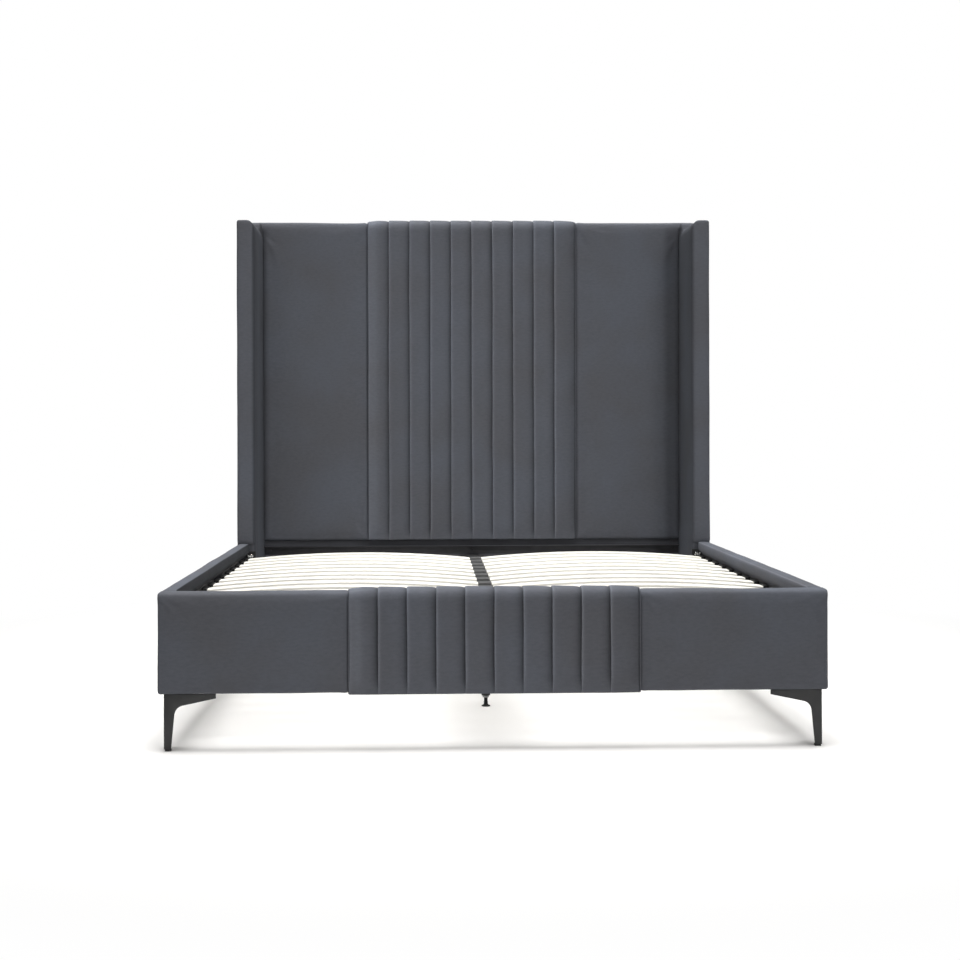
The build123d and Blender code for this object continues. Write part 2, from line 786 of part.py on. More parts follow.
# Centre leg, a flanged tube with a threaded insert, and its foot and lock nut
tube_bottom = centre_leg_clearance
tube_radius = centre_leg_diameter / 2
stem_hole = stem_diameter / 2 + stem_fit
insert_top = tube_bottom + insert_height
with BuildPart() as centre_leg:
    with BuildSketch(Plane.XY.offset(tube_bottom)):
        Circle(tube_radius)
    extrude(amount=beam_bottom - tube_bottom)
    with BuildSketch(Plane.XY.offset(beam_bottom - plate)):
        Circle(leg_flange_diameter / 2)
    extrude(amount=plate)
    with BuildSketch(Plane.XY.offset(insert_top)):
        Circle(tube_radius - centre_leg_wall)
    extrude(amount=beam_bottom - plate - insert_top, mode=Mode.SUBTRACT)
    with BuildSketch(Plane.XY.offset(tube_bottom)):
        Circle(stem_hole)
    extrude(amount=insert_height, mode=Mode.SUBTRACT)

foot_radius = foot_diameter / 2
neck_radius = foot_neck_diameter / 2
stem_radius = stem_diameter / 2
stem_top = insert_top + stem_above_insert
with BuildPart() as centre_foot:
    with BuildSketch(Plane.XZ):
        with BuildLine():
            Polyline((0, 0), (foot_radius, 0), (foot_radius, foot_rim_height))
            TangentArc(
                (foot_radius, foot_rim_height), (neck_radius, foot_height), tangent=(-1, 0),
            )
            Polyline(
                (neck_radius, foot_height), (stem_radius, foot_height), (stem_radius, stem_top),
                (0, stem_top), (0, 0),
            )
        make_face()
    revolve(axis=Axis.Z)

with BuildPart() as lock_nut:
    with BuildSketch(Plane.XY.offset(tube_bottom - nut_height)):
        RegularPolygon(nut_across_flats / 2, 6, major_radius=False)
        Circle(stem_hole, mode=Mode.SUBTRACT)
    extrude(amount=nut_height)

for name, y in zip(("front", "rear"), centre_leg_places):
    with BuildPart() as placed_leg:
        with Locations((0, y, 0)):
            add(centre_leg.part)
    save(placed_leg, f"centre_leg_{name}")
    with BuildPart() as placed_foot:
        with Locations((0, y, 0)):
            add(centre_foot.part)
    save(placed_foot, f"centre_foot_{name}")

with BuildPart() as lock_nuts:
    with Locations(*[(0, y, 0) for y in centre_leg_places]):
        add(lock_nut.part)
save(lock_nuts, "lock_nuts")


def corner_leg(corner_y, away, screws):
    """Two swept blades at a right angle under a screw plate, at a right-hand corner."""
    corner = Plane((leg_corner_x, corner_y, 0), z_dir=(1, away, 0))
    with BuildPart() as leg:
        with BuildSketch(Plane.XZ.offset(-corner_y)) as blade:
            with BuildLine():
                Polyline(
                    (leg_corner_x, base),
                    (leg_corner_x - leg_arm, base),
                    (leg_corner_x - leg_arm, base - leg_tip_height),
                    (leg_corner_x - leg_blade_width, base - leg_root_height),
                    (leg_corner_x - leg_foot_width, glide_height),
                    (leg_corner_x, glide_height),
                    close=True,
                )
            make_face()
            bend = (leg_corner_x - leg_blade_width, base - leg_root_height, 0)
            fillet(blade.vertices().sort_by_distance(bend)[0], radius=leg_bend_round)
        extrude(amount=-away * leg_blade)
        mirror(about=corner)
        plate_x = (leg_corner_x - leg_blade - leg_plate_width, leg_corner_x)
        plate_y = (corner_y, corner_y + away * (leg_blade + leg_plate_width))
        block(plate_x, plate_y, (leg_plate_bottom, base))
        with Locations(*screws):
            Cylinder(screw_diameter / 2 + bolt_fit, 2 * plate + cut_overrun, mode=Mode.SUBTRACT)
    return leg


save_sides(corner_leg(front_leg_y, 1, front_leg_screws), "leg_front")
save_sides(corner_leg(rear_leg_y, -1, rear_leg_screws), "leg_rear")


def corner_glide(corner_y, away):
    """Plastic glide under the foot of a corner leg, on the right."""
    far_x = leg_corner_x - leg_foot_width - glide_margin
    far_y = corner_y + away * (leg_foot_width + glide_margin)
    with BuildPart() as glide:
        block((far_x, leg_corner_x), (corner_y, far_y), (0, glide_height))
        fillet(glide.edges().filter_by(Axis.Z), radius=glide_round)
    return glide


with BuildPart() as glides_right:
    add(corner_glide(front_leg_y, 1).part)
    add(corner_glide(rear_leg_y, -1).part)
save(both_sides(glides_right), "leg_glides")

with BuildPart() as leg_screws_right:
    with Locations(*front_leg_screws, *rear_leg_screws):
        add(make_screw(screw_grip).part)
save(both_sides(leg_screws_right), "leg_screws")
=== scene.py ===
"""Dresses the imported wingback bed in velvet, lacquer, plastic and steel.

X runs across the bed, +Y points to the headboard and +Z up, in metres, as in the
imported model. Right-hand pieces are made first, and mirrored for the left.
"""

import json
import math

import bmesh
import bpy
from mathutils import Matrix, Vector, noise


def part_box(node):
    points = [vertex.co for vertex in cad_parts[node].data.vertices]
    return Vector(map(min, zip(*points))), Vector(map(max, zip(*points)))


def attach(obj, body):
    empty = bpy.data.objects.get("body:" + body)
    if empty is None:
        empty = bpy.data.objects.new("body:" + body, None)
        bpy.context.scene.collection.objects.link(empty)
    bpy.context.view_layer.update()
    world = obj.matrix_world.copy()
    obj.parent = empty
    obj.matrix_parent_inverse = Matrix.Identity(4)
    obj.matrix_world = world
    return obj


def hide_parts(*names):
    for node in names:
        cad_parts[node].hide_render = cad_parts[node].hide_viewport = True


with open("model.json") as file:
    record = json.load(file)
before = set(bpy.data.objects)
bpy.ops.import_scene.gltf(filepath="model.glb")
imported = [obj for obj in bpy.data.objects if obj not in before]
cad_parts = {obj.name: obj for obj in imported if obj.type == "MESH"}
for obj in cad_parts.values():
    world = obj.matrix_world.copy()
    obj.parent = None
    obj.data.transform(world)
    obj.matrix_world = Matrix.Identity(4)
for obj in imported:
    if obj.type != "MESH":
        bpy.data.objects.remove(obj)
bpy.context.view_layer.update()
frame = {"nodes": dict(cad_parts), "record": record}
scene = bpy.context.scene
MM = 0.001
WHITE = (1.0, 1.0, 1.0)
HAIR = 1e-6  # metres, less than any real step between two places


# Camera at the photograph's viewpoint, level and turned slightly to the headboard's right
CAMERA_PLACE = (-0.1619, -5.2455, 0.7786)
CAMERA_TURN = 0.03048
CAMERA_ROLL = -0.00296
CAMERA_LENS = 64.47
CAMERA_SHIFT = -0.0522

camera = bpy.data.objects.new("camera", bpy.data.cameras.new("camera"))
camera.data.lens = CAMERA_LENS
camera.data.sensor_width = 36
camera.data.shift_y = CAMERA_SHIFT
camera.data.clip_end = 200
camera.matrix_world = (
    Matrix.Translation(CAMERA_PLACE)
    @ Matrix.Rotation(-CAMERA_TURN, 4, "Z")
    @ Matrix.Rotation(math.pi / 2, 4, "X")
    @ Matrix.Rotation(CAMERA_ROLL, 4, "Z")
)
scene.collection.objects.link(camera)
scene.camera = camera


# Finishes
def add_node(tree, kind, inputs=None, **settings):
    """A shader node with its settings, and its inputs linked or set."""
    node = tree.nodes.new(kind)
    for name, value in settings.items():
        setattr(node, name, value)
    for name, value in (inputs or {}).items():
        if isinstance(value, bpy.types.NodeSocket):
            tree.links.new(value, node.inputs[name])
        else:
            node.inputs[name].default_value = value
    return node


def new_finish(name, **sockets):
    """A material, its node tree and its shader with some sockets set."""
    material = bpy.data.materials.new(name)
    material.use_nodes = True
    shader = material.node_tree.nodes["Principled BSDF"]
    for socket, value in sockets.items():
        shader.inputs[socket.replace("_", " ")].default_value = value
    return material, material.node_tree, shader


def placed_on_object(tree, stretch=(1, 1, 1)):
    """Object coordinates, stretched along an axis where the pattern has a direction."""
    coordinates = add_node(tree, "ShaderNodeTexCoord").outputs["Object"]
    return add_node(tree, "ShaderNodeMapping", {"Vector": coordinates, "Scale": stretch}).outputs[0]


def speckle(tree, scale, detail=2, stretch=(1, 1, 1), roughness=0.5):
    """Noise at so many spots to the metre."""
    place = placed_on_object(tree, stretch)
    values = {"Vector": place, "Scale": scale, "Detail": detail, "Roughness": roughness}
    return add_node(tree, "ShaderNodeTexNoise", values).outputs["Fac"]


def between(tree, factor, low, high, start=0.3, stop=0.7):
    """A colour between two, by a factor."""
    ramp = add_node(tree, "ShaderNodeValToRGB", {"Fac": factor})
    for element, place, colour in zip(ramp.color_ramp.elements, (start, stop), (low, high)):
        element.position = place
        element.color = (*colour, 1)
    return ramp.outputs["Color"]


def blended(tree, first, second):
    """Two colours multiplied."""
    inputs = {"Fac": 1.0, "Color1": first, "Color2": second}
    return add_node(tree, "ShaderNodeMixRGB", inputs, blend_type="MULTIPLY").outputs["Color"]


def emboss(tree, shader, height, strength, depth):
    """Raises the surface by a height pattern."""
    inputs = {"Height": height, "Strength": strength, "Distance": depth}
    bump = add_node(tree, "ShaderNodeBump", inputs)
    tree.links.new(bump.outputs["Normal"], shader.inputs["Normal"])


def ramp(tree, value, start, stop, first, last):
    """A value led smoothly from one limit to another."""
    inputs = {"Value": value, "From Min": start, "From Max": stop, "To Min": first, "To Max": last}
    return add_node(tree, "ShaderNodeMapRange", inputs, interpolation_type="SMOOTHSTEP").outputs[0]


def times(tree, first, second):
    """Two values multiplied."""
    return add_node(tree, "ShaderNodeMath", {0: first, 1: second}, operation="MULTIPLY").outputs[0]


def painted_top_light(tree, normal):
    """Painted light: brighter colour on faces that look up."""
    return ramp(tree, normal["Z"], 0.4, 0.95, 1.0, 1.3)


def painted_inward_shade(tree, painted_shade_factor):
    """Painted shade on the velvet.

    It is darkest on faces turned to the bed's middle, by a share for the left and one
    for the right (a share above 1 paints light there), with a painted shadow on the
    headboard's face beside the wings and the painted top light.
    """
    coordinates = add_node(tree, "ShaderNodeTexCoord").outputs
    place = add_node(tree, "ShaderNodeSeparateXYZ", {0: coordinates["Object"]}).outputs
    normal = add_node(tree, "ShaderNodeSeparateXYZ", {0: coordinates["Normal"]}).outputs
    # Painted shade on inward faces, by a share for the left and one for the right
    deepest_painted_shade = ramp(tree, place["X"], -0.1, 0.1, *painted_shade_factor)
    inward = ramp(tree, times(tree, place["X"], normal["X"]), -0.45, -0.12, deepest_painted_shade, 1.0)
    # Painted shadow on the headboard's face beside each wing
    painted_shadow_by_right_wing = ramp(tree, place["X"], 0.69, 0.722, 1.0, 0.7)
    painted_shadow_by_left_wing = ramp(tree, place["X"], -0.752, -0.728, 0.75, 1.0)
    corner = times(tree, painted_shadow_by_right_wing, painted_shadow_by_left_wing)
    on_headboard = ramp(tree, place["Y"], 0.95, 0.98, 0.0, 1.0)
    below_cap = ramp(tree, place["Z"], 1.49, 1.525, 1.0, 0.0)
    limits = {"Value": times(tree, on_headboard, below_cap), "To Min": 1.0, "To Max": corner}
    # The painted shadow beside the wings, only on the headboard below its cap
    edge = add_node(tree, "ShaderNodeMapRange", limits).outputs[0]
    return times(tree, times(tree, inward, edge), painted_top_light(tree, normal))


def painted_pleat_light(tree, painted_shade_factor):
    """Painted light and shade on the folds: a painted highlight on their lips, turned left, and painted
    shade where they turn right and run under the next one.
    """
    facing = add_node(tree, "ShaderNodeTexCoord").outputs["Normal"]
    normal = add_node(tree, "ShaderNodeSeparateXYZ", {0: facing}).outputs
    # Painted highlight on faces turned left, painted shade on faces turned right
    painted_fold_shading = ramp(tree, normal["X"], -0.9, 0.75, 2.0, painted_shade_factor)
    return times(tree, painted_fold_shading, painted_top_light(tree, normal))


def make_velvet(name, light_painting, painted_shade_factor):
    """Slate grey short-pile velvet, mottled where the pile lies differently, with painted light and shade.
    """
    material, tree, shader = new_finish(
        name, Roughness=0.9, Sheen_Weight=0.03, Sheen_Roughness=0.3,
        Sheen_Tint=(0.76, 0.82, 0.95, 1), Specular_IOR_Level=0.1,
    )
    clouds = between(
        tree, speckle(tree, 4.2, 3), (0.0715, 0.0735, 0.0825), (0.077, 0.0825, 0.097), 0.36, 0.64,
    )
    strokes = between(tree, speckle(tree, 170, 4, (0.4, 1, 1)), (0.9, 0.9, 0.9), WHITE, 0.3, 0.62)
    pile = speckle(tree, 900, 2)
    grain = between(tree, pile, (0.9, 0.9, 0.9), WHITE, 0.35, 0.65)
    colour = blended(tree, blended(tree, clouds, strokes), grain)
    # Painted light and shade scale the colour
    shade = add_node(tree, "ShaderNodeVectorMath", {0: colour, 3: light_painting(tree, painted_shade_factor)}, operation="SCALE")
    tree.links.new(shade.outputs[0], shader.inputs["Base Color"])
    emboss(tree, shader, pile, 0.18, 0.5 * MM)
    return material


def make_cloth(name, low, high, threads):
    """Plain woven cloth, with two crossing sets of threads."""
    material, tree, shader = new_finish(name, Roughness=0.92, Specular_IOR_Level=0.1)
    place = placed_on_object(tree)
    bands = []
    for direction in ("X", "Z"):
        wave = {"Vector": place, "Scale": threads, "Distortion": 0.6}
        settings = {"bands_direction": direction, "wave_profile": "SIN"}
        bands.append(add_node(tree, "ShaderNodeTexWave", wave, **settings).outputs["Fac"])
    weave = add_node(tree, "ShaderNodeMath", {0: bands[0], 1: bands[1]}, operation="MAXIMUM").outputs[0]
    colour = between(tree, speckle(tree, 9, 4), low, high)
    colour = blended(tree, colour, between(tree, weave, (0.8, 0.8, 0.8), WHITE, 0, 1))
    tree.links.new(colour, shader.inputs["Base Color"])
    emboss(tree, shader, weave, 0.3, 0.4 * MM)
    return material


def make_wood(name, low, high, stretch, roughness):
    """Sawn wood, with its grain drawn out along one axis."""
    material, tree, shader = new_finish(name, Roughness=roughness, Specular_IOR_Level=0.3)
    grain = speckle(tree, 26, 6, stretch, 0.62)
    rings = speckle(tree, 5, 3, stretch)
    colour = blended(
        tree, between(tree, grain, low, high, 0.35, 0.66),
        between(tree, rings, (0.86, 0.84, 0.8), WHITE),
    )
    tree.links.new(colour, shader.inputs["Base Color"])
    emboss(tree, shader, grain, 0.18, 0.5 * MM)
    return material


def make_white_slat():
    """Bent laminated wood under a warm white foil, with a faint grain."""
    material, tree, shader = new_finish("white_slat", Roughness=0.42, Specular_IOR_Level=0.4)
    grain = speckle(tree, 60, 5, (0.05, 1, 1), 0.6)
    tone = speckle(tree, 4, 2)
    colour = blended(
        tree, between(tree, grain, (0.68, 0.655, 0.60), (0.74, 0.715, 0.665), 0.3, 0.6),
        between(tree, tone, (0.95, 0.95, 0.94), WHITE),
    )
    tree.links.new(colour, shader.inputs["Base Color"])
    emboss(tree, shader, grain, 0.08, 0.3 * MM)
    return material


def make_powder_coat():
    """Satin black powder coat, with its fine orange peel."""
    material, tree, shader = new_finish("black_steel", Specular_IOR_Level=0.3)
    peel = speckle(tree, 1400, 2)
    dust = between(tree, speckle(tree, 38, 5), (0.020, 0.0202, 0.0205), (0.026, 0.0262, 0.0266))
    tree.links.new(dust, shader.inputs["Base Color"])
    gloss = between(tree, speckle(tree, 22, 4), (0.42,) * 3, (0.56,) * 3)
    tree.links.new(gloss, shader.inputs["Roughness"])
    emboss(tree, shader, peel, 0.12, 0.2 * MM)
    return material


def make_zinc(name, low, high, roughness):
    """Plated steel, drawn and slightly spotted."""
    material, tree, shader = new_finish(name, Metallic=1.0)
    spots = speckle(tree, 260, 4)
    tree.links.new(between(tree, spots, low, high), shader.inputs["Base Color"])
    scratches = speckle(tree, 420, 3, (1, 1, 0.2))
    gloss = between(tree, scratches, (roughness,) * 3, (roughness + 0.14,) * 3)
    tree.links.new(gloss, shader.inputs["Roughness"])
    emboss(tree, shader, spots, 0.06, 0.1 * MM)
    return material


def make_plastic(name, low, high):
    """Moulded plastic with a fine spark-eroded grain."""
    material, tree, shader = new_finish(name, Specular_IOR_Level=0.25)
    grain = speckle(tree, 1900, 2)
    tree.links.new(between(tree, speckle(tree, 30, 4), low, high), shader.inputs["Base Color"])
    gloss = between(tree, grain, (0.48,) * 3, (0.62,) * 3)
    tree.links.new(gloss, shader.inputs["Roughness"])
    emboss(tree, shader, grain, 0.16, 0.15 * MM)
    return material


FINISHES = {
    # The velvets differ only by painted light and shade; on the rails, painted shade inside the left one
    # and painted light inside the right one
    "velvet": make_velvet("velvet", painted_inward_shade, (0.6, 0.8)),
    "rail_velvet": make_velvet("rail_velvet", painted_inward_shade, (0.16, 1.5)),
    "pleat_velvet": make_velvet("pleat_velvet", painted_pleat_light, 0.4),
    "dark_cloth": make_cloth("dark_cloth", (0.060, 0.061, 0.068), (0.075, 0.077, 0.086), 900),
    "timber": make_wood("timber", (0.42, 0.29, 0.17), (0.62, 0.46, 0.29), (1, 1, 0.06), 0.7),
    "black_timber": make_wood(
        "black_timber", (0.019, 0.019, 0.021), (0.03, 0.03, 0.033), (1, 0.06, 1), 0.6,
    ),
    "black_steel": make_powder_coat(),
    "bright_steel": make_zinc("bright_steel", (0.66, 0.66, 0.65), (0.76, 0.76, 0.75), 0.18),
    "zinc_steel": make_zinc("zinc_steel", (0.22, 0.22, 0.22), (0.3, 0.3, 0.3), 0.34),
    "grey_plastic": make_plastic("grey_plastic", (0.05, 0.05, 0.05), (0.066, 0.066, 0.065)),
    "black_plastic": make_plastic("black_plastic", (0.008, 0.008, 0.008), (0.013, 0.013, 0.013)),
    "white_slat": make_white_slat(),
    # Darker blacks: painted shade for nodes in the shade at the head end
    "painted_shade_black": make_plastic("painted_shade_black", (0.018, 0.018, 0.020), (0.024, 0.024, 0.027)),
    "painted_shade_deep_black": make_plastic("painted_shade_deep_black", (0.005, 0.005, 0.005), (0.008, 0.008, 0.008)),
}
# Nodes at the head end that look other than the rest of their slot: darker blacks as painted shade, for
# the shade that they stand in
SHADE_PAINTED_FINISHES = {"head_rail": "painted_shade_black", "head_rail_screws": "painted_shade_black", "head_brackets": "painted_shade_deep_black"}
NODE_SLOTS = {part["node"]: part["material_slot"] for part in frame["record"]["subparts"]}


# Making pieces
def body_of_node(node):
    """The CAD body that a node rides on."""
    for body, nodes in frame["record"]["behaviour"]["bodies"].items():
        if node in nodes:
            return body
    return "root"


def finish_of(node):
    """The finish that a CAD node is given."""
    return SHADE_PAINTED_FINISHES.get(node, NODE_SLOTS[node])


def as_piece(mesh, name, finish, *nodes):
    """A finished mesh as a piece of the bed that stands for some CAD nodes."""
    piece = bpy.data.objects.new(name, mesh)
    mesh.materials.clear()
    mesh.materials.append(FINISHES[finish])
    scene.collection.objects.link(piece)
    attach(piece, body_of_node(nodes[0]) if nodes else "bed")
    if nodes:
        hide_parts(*nodes)
    return piece


def smooth(mesh, angle=35):
    """Smooth shading, with the sharp edges kept."""
    mesh.shade_smooth()
    mesh.set_sharp_from_angle(angle=math.radians(angle))
    return mesh


def to_mesh(shape, name):
    """Turns a bmesh into a mesh and frees it."""
    mesh = bpy.data.meshes.new(name)
    shape.to_mesh(mesh)
    shape.free()
    return mesh


def mirrored(mesh, name):
    """The left-hand copy of a right-hand mesh."""
    shape = bmesh.new()
    shape.from_mesh(mesh)
    bmesh.ops.transform(shape, matrix=Matrix.Scale(-1, 4, (1, 0, 0)), verts=shape.verts)
    bmesh.ops.reverse_faces(shape, faces=shape.faces)
    return to_mesh(shape, name)


WAYS = {
    "left": (-1, 0, 0), "right": (1, 0, 0), "front": (0, -1, 0),
    "back": (0, 1, 0), "under": (0, 0, -1), "top": (0, 0, 1),
}


def bevelled(shape, edges, radius, segments=4, clamp_overlap=False):
    """Rounds some edges by a radius."""
    bmesh.ops.bevel(
        shape, geom=edges, offset=radius, offset_type="OFFSET", affect="EDGES",
        segments=segments, profile=0.5, material=-1, clamp_overlap=clamp_overlap,
    )


def runs_along(edge, axis):
    """Whether an edge runs along an axis, 0 for X and 1 for Y."""
    return abs((edge.verts[0].co - edge.verts[1].co).normalized()[axis]) > 0.9


def round_edges(shape, rounds):
    """Rounds the edges between pairs of flat faces, such as front_top, by a radius."""
    for pair, radius in rounds.items():
        ways = [Vector(WAYS[way]) for way in pair.split("_")]
        edges = [
            edge for edge in shape.edges if len(edge.link_faces) == 2 and all(
                any(face.normal.dot(way) > 0.99 for face in edge.link_faces) for way in ways
            )
        ]
        bevelled(shape, edges, radius)
    return shape


def block(x, y, z, **rounds):
    """A box between two limits on each axis, with named edges rounded."""
    shape = bmesh.new()
    bmesh.ops.create_cube(shape, size=1)
    size = (x[1] - x[0], y[1] - y[0], z[1] - z[0])
    middle = Vector((x[0] + x[1], y[0] + y[1], z[0] + z[1])) / 2
    bmesh.ops.scale(shape, vec=size, verts=shape.verts)
    bmesh.ops.translate(shape, vec=middle, verts=shape.verts)
    shape.normal_update()
    return round_edges(shape, rounds)


def joined(*shapes):
    """Several shapes as one."""
    whole = shapes[0]
    for shape in shapes[1:]:
        mesh = to_mesh(shape, "joined")
        whole.from_mesh(mesh)
        bpy.data.meshes.remove(mesh)
    return whole


def prism(outline, y):
    """A shape with an outline in X and Z, drawn out along Y."""
    shape = bmesh.new()
    face = shape.faces.new([shape.verts.new((a, y[0], b)) for a, b in outline])
    grown = bmesh.ops.extrude_face_region(shape, geom=[face])["geom"]
    moved = [vertex for vertex in grown if isinstance(vertex, bmesh.types.BMVert)]
    bmesh.ops.translate(shape, vec=(0, y[1] - y[0], 0), verts=moved)
    bmesh.ops.recalc_face_normals(shape, faces=shape.faces)
    return shape


def evaluated(piece):
    """The mesh that a piece has with its modifiers applied."""
    graph = bpy.context.evaluated_depsgraph_get()
    return bpy.data.meshes.new_from_object(piece.evaluated_get(graph))


CLOTH_STEPS = 20
CLOTH_PRESSURE = 4.0
SINK_UNDONE = 0.8  # share of its inward move that a blown-up cover gives back
CUSHION_SIZE = 0.16
CUSHION_RISE = 0.9 * MM


def blown_up(piece, swell):
    """Blows the piece up as cloth, by no more than its swell, and held by its group."""
    cloth = piece.modifiers.new("cloth", "CLOTH")
    cloth.settings.quality = 4
    cloth.settings.use_pressure = True
    cloth.settings.uniform_pressure_force = CLOTH_PRESSURE
    cloth.settings.effector_weights.gravity = 0
    cloth.settings.vertex_group_mass = "held"
    cloth.settings.bending_stiffness = 2
    cloth.point_cache.frame_start = 1
    cloth.point_cache.frame_end = CLOTH_STEPS
    for step in range(1, CLOTH_STEPS + 1):
        scene.frame_set(step)
    blown = evaluated(piece)
    piece.modifiers.clear()
    for vertex, after in zip(piece.data.vertices, blown.vertices):
        move = after.co - vertex.co
        inward = min(0, move.dot(vertex.normal))
        move -= vertex.normal * inward * SINK_UNDONE
        vertex.co += move * (swell / (swell + move.length))
    bpy.data.meshes.remove(blown)
    scene.frame_set(1)


def refined_once(piece):
    """The mesh of a piece made finer by one level, and the piece taken away."""
    finer = piece.modifiers.new("finer", "SUBSURF")
    finer.levels = finer.render_levels = 1
    bpy.context.view_layer.update()
    mesh = evaluated(piece)
    bpy.data.objects.remove(piece)
    return mesh


def padded(name, shape, held, voxel=7 * MM, swell=5 * MM):
    """A stuffed cover: the shape is remeshed, blown up as cloth and held where it lies on its board."""
    piece = bpy.data.objects.new(name, to_mesh(shape, name))
    scene.collection.objects.link(piece)
    remesh = piece.modifiers.new("even", "REMESH")
    remesh.mode = "VOXEL"
    remesh.voxel_size = voxel
    bpy.context.view_layer.update()
    piece.data = evaluated(piece)
    piece.modifiers.clear()
    group = piece.vertex_groups.new(name="held")
    group.add([vertex.index for vertex in piece.data.vertices if held(vertex.co)], 1.0, "REPLACE")
    blown_up(piece, swell)
    return refined_once(piece)


def uneven(mesh, size, height, seed):
    """Lets the surface rise and fall a little along its normals, as stuffed cloth does."""
    shift = Vector((seed * 7.3, seed * 3.1, seed * 5.7))
    moves = [
        vertex.normal * (noise.fractal(vertex.co / size + shift, 1.0, 2.0, 2) * height)
        for vertex in mesh.vertices
    ]
    for vertex, move in zip(mesh.vertices, moves):
        vertex.co += move


def add_cover(mesh, name, finish, seed, *nodes):
    """Puts a padded mesh on the bed, a little uneven."""
    uneven(mesh, CUSHION_SIZE, CUSHION_RISE, seed)
    mesh.shade_smooth()
    as_piece(mesh, name, finish, *nodes)


def both_sides(mesh, name, finish, seed, stands_for_nodes=True):
    """Puts a right-hand cover on the bed and its mirror image on the left."""
    copies = (("right", mesh), ("left", mirrored(mesh, name + "_left")))
    for number, (side, copy) in enumerate(copies):
        nodes = [f"{name}_{side}"] if stands_for_nodes else []
        add_cover(copy, f"{name}_{side}_made", finish, seed + number, *nodes)


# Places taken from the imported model
rail_low, rail_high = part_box("side_rail_cover_right")
foot_low, foot_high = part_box("footboard_pad_right")
wing_low, wing_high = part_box("wing_cover_right")
post_low, post_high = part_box("post_cover_right")
head_low, head_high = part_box("headboard_pad_right")
rail_board_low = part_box("side_rail_board_right")[0]
foot_board_low, foot_board_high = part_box("footboard_board")
ply_low, ply_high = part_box("headboard_ply")
base = rail_low.z
rail_top = rail_high.z
lip_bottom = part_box("footboard_lining")[1].z
half_width = rail_high.x
head_back = head_high.y
SLACK = 1.5 * MM  # room that a cover leaves to its box, to swell out to it
BOARD_BITE = 0.5 * MM  # depth that a cover presses onto its board
SEAM_REACH = 2 * MM  # length that a plain pad runs in under the pleats
LIP_THICKNESS = 14 * MM

# Side rails: a padded cover over the board, with a lip down its inner side
rail_run = (rail_low.y + SLACK, rail_high.y + 3 * MM)
outer_wall = block(
    (rail_board_low.x + BOARD_BITE, half_width - SLACK), rail_run, (base + SLACK, rail_top - SLACK),
    right_top=9 * MM, right_under=4 * MM, front_right=2 * MM, back_right=2 * MM,
)
inner_lip = block(
    (rail_low.x + SLACK, half_width - LIP_THICKNESS), rail_run, (lip_bottom, rail_top - SLACK),
    left_top=4 * MM, left_under=3 * MM,
)
rail_mesh = padded(
    "side_rail", joined(outer_wall, inner_lip),
    lambda co: co.x < rail_board_low.x + 4 * MM and co.z < lip_bottom - 3 * MM, swell=2.5 * MM,
)
both_sides(rail_mesh, "side_rail_cover", "rail_velvet", seed=1)

# Footboard: plain pads at its two ends
foot_front_wall = block(
    (foot_low.x - SEAM_REACH, half_width - SLACK), (foot_low.y + SLACK, foot_board_high.y - BOARD_BITE),
    (base, rail_top - SLACK),
    front_top=18 * MM, front_under=3 * MM, front_right=8 * MM, right_top=8 * MM, right_under=3 * MM,
)
foot_lip = block(
    (foot_low.x - SEAM_REACH, half_width - SLACK), (foot_low.y + 25 * MM, foot_high.y - SLACK),
    (lip_bottom, rail_top - SLACK),
    back_top=18 * MM, back_under=4 * MM, right_top=8 * MM,
)
foot_end = block(
    (half_width - LIP_THICKNESS, half_width - SLACK), (foot_low.y + 25 * MM, foot_high.y - SLACK),
    (base, rail_top - SLACK), right_top=8 * MM, right_under=3 * MM, back_top=12 * MM,
)
foot_mesh = padded(
    "footboard_end", joined(foot_front_wall, foot_lip, foot_end),
    lambda co: co.y > foot_board_low.y + 8 * MM and co.z < lip_bottom - 3 * MM,
    voxel=6 * MM, swell=4 * MM,
)
both_sides(foot_mesh, "footboard_pad", "velvet", seed=5)

# Headboard: plain pads at the two sides, with a flap over the frame that runs over the wings
head_front = block(
    (head_low.x - SEAM_REACH, wing_low.x + 2 * MM), (head_low.y + 2 * SLACK, ply_low.y + BOARD_BITE),
    (head_low.z - 2 * SLACK, head_high.z - SLACK),
    front_top=20 * MM, front_right=12 * MM, front_under=7 * MM,
)
head_flap = block(
    (head_low.x - SEAM_REACH, half_width - SLACK), (head_low.y + 2 * SLACK, head_back - SLACK),
    (ply_high.z + 0.5 * MM, head_high.z - SLACK),
    front_top=20 * MM, back_top=5 * MM, right_top=8 * MM, front_right=8 * MM, back_right=6 * MM,
)


def on_headboard_frame(co):
    """Where the headboard's pads lie on its plywood and on the top of its frame."""
    on_plywood = co.y > ply_low.y - 5 * MM and co.z < ply_high.z
    return on_plywood or (co.y > ply_low.y and co.z < ply_high.z + 4 * MM)


head_mesh = padded("headboard_side", joined(head_front, head_flap), on_headboard_frame, voxel=7.5 * MM)
both_sides(head_mesh, "headboard_pad", "velvet", seed=9)

# Wings: a padded board with its inner top corner cut off, and a border sewn round its front
WING_CUT = 18 * MM
BORDER_DEPTH = 15 * MM
wing_rear_y = head_low.y - 22 * MM
wing_outline = (
    (wing_low.x + SLACK, wing_low.z - SLACK), (wing_high.x - SLACK, wing_low.z - SLACK),
    (wing_high.x - SLACK, wing_high.z - SLACK), (wing_low.x + WING_CUT, wing_high.z - SLACK),
    (wing_low.x + SLACK, wing_high.z - WING_CUT),
)


def rounded_prism(outline, y, radius, end_radius):
    """A prism with its long edges and its front edges rounded."""
    shape = prism(outline, y)
    bevelled(shape, [edge for edge in shape.edges if runs_along(edge, 1)], radius)
    ends = [edge for edge in shape.edges if all(abs(v.co.y - y[0]) < HAIR for v in edge.verts)]
    bevelled(shape, ends, end_radius)
    return shape


